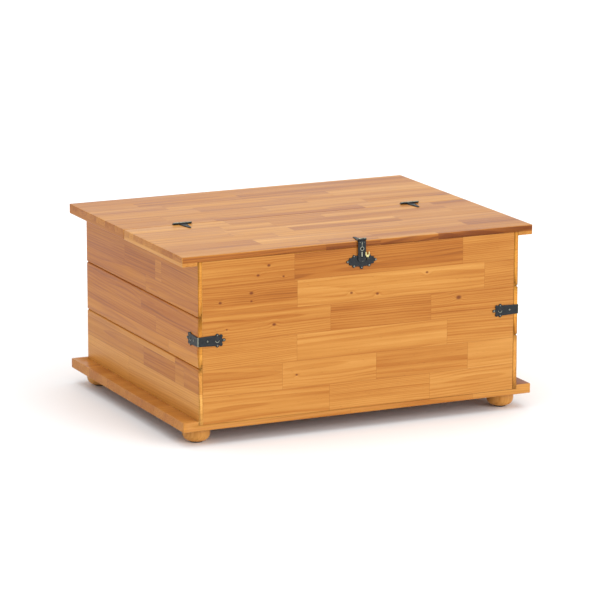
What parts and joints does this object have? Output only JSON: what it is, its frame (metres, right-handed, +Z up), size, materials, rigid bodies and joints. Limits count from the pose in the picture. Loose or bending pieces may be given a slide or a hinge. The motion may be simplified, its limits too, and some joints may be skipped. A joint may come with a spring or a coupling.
{
  "type": "wooden toy box",
  "caption": "Low pine toy chest on bun feet; the front half of its lid is a flap on surface T-hinges, with an iron hasp, turn button and corner brackets.",
  "frame": {"origin": "on the floor at the centre of the bounding box, which is midway along the length and midway between the foremost point of the hasp and the back edge", "axes": "+X to the right as the front is faced, along the length; the front faces -Y; +Z up"},
  "size_m": [0.9, 0.708, 0.4547],
  "materials": {
    "pine": "satin clear lacquer over solid pine staves",
    "pine_lid": "satin clear lacquer over solid pine staves",
    "iron": "blackened and waxed, worn bright on edges",
    "nail": "dark domed heads with worn tops",
    "steel": "plain steel",
    "brass": "satin",
    "felt": "dense felt"
  },
  "bodies": {
    "chest": {"base_board": "pine", "front_panel": "pine", "back_panel": "pine", "side_left_lower": "pine", "side_left_middle": "pine", "side_left_upper": "pine", "side_right_lower": "pine", "side_right_middle": "pine", "side_right_upper": "pine", "lid_rear": "pine_lid", "corner_post_front_left": "pine", "corner_post_front_right": "pine", "corner_post_back_left": "pine", "corner_post_back_right": "pine", "seam_rail": "pine", "back_cleat": "pine", "foot_front_left": "pine", "foot_front_right": "pine", "foot_back_left": "pine", "foot_back_right": "pine", "foot_stud_front_left": "steel", "foot_stud_front_right": "steel", "foot_stud_back_left": "steel", "foot_stud_back_right": "steel", "glide_front_left": "felt", "glide_front_right": "felt", "glide_back_left": "felt", "glide_back_right": "felt", "hinge_leaf_left": "iron", "hinge_pin_left": "steel", "hinge_leaf_right": "iron", "hinge_pin_right": "steel", "hasp_plate": "iron", "plate_nail_left_tip": "nail", "plate_nail_right_tip": "nail", "plate_nail_left_low": "nail", "plate_nail_right_low": "nail", "button_rivet": "brass", "corner_bracket_left": "iron", "corner_bracket_right": "iron", "bracket_nail_front_strap_left": "nail", "bracket_nail_front_tip_left": "nail", "bracket_nail_side_strap_left": "nail", "bracket_nail_side_tip_left": "nail", "bracket_nail_front_strap_right": "nail", "bracket_nail_front_tip_right": "nail", "bracket_nail_side_strap_right": "nail", "bracket_nail_side_tip_right": "nail"},
    "flap": {"lid_flap": "pine_lid", "flap_batten_left": "pine", "flap_batten_right": "pine", "hinge_strap_left": "iron", "hinge_strap_right": "iron", "hinge_screw_left": "nail", "hinge_screw_right": "nail", "hasp_leaf": "iron", "hasp_pin": "steel", "hasp_leaf_nail": "nail"},
    "hasp": {"hasp_strap": "iron"},
    "button": {"turn_button": "brass"}
  },
  "joints": [
    {"name": "flap_hinge", "type": "hinge", "parent": "chest", "child": "flap", "pos_m": [0, 0.004, 0.4503], "axis": [-1, 0, 0], "range_deg": [0, 180]},
    {"name": "hasp_hinge", "type": "hinge", "parent": "flap", "child": "hasp", "pos_m": [0, -0.3497, 0.4514], "axis": [-1, 0, 0], "range_deg": [0, 270]},
    {"name": "button_pivot", "type": "hinge", "parent": "chest", "child": "button", "pos_m": [0.0132, -0.346, 0.4035], "axis": [0, -1, 0], "range_deg": [-90, 90]}
  ]
}
